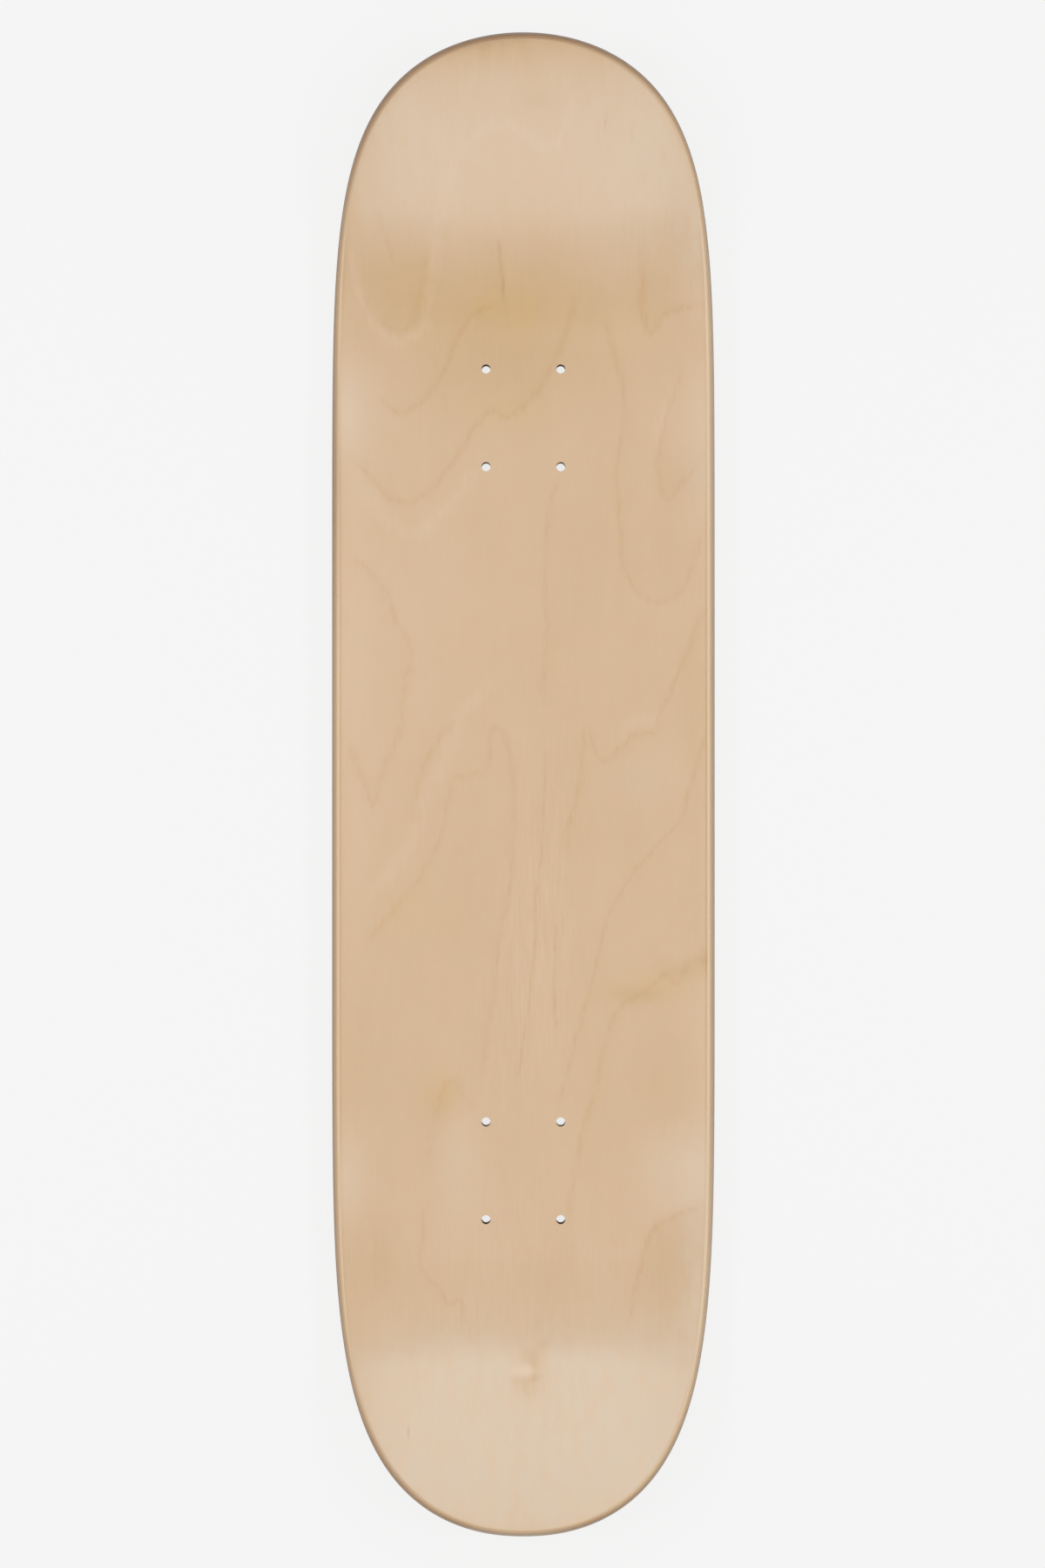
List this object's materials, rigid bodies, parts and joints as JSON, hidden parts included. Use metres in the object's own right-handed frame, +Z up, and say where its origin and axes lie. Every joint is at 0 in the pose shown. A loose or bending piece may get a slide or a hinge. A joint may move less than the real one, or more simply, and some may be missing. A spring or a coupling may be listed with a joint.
{
  "type": "skateboard deck",
  "caption": "Pressed maple skateboard deck with a dished middle, raised nose and tail, rounded rails and truck bolt holes.",
  "frame": {"origin": "on the flat underside, midway between the front and rear truck bolt patterns", "axes": "+Y runs along the deck to the nose, +Z is up from the underside to the standing face, and +X is to the right of a rider who faces the nose"},
  "size_m": [0.2108, 0.817, 0.0564],
  "materials": {
    "top_face": "bare maple face veneer, sanded smooth, satin",
    "bottom_face": "bare maple face veneer, sanded smooth, satin",
    "core": "maple core veneer, its long grain showing as a pale line at the rail",
    "crossband": "maple crossband, its end grain showing as a darker line at the rails"
  },
  "bodies": {
    "root": {"bottom_face_veneer": "bottom_face", "lower_core_veneer": "core", "lower_crossband": "crossband", "middle_core_veneer": "core", "upper_crossband": "crossband", "upper_core_veneer": "core", "top_face_veneer": "top_face"}
  },
  "joints": []
}
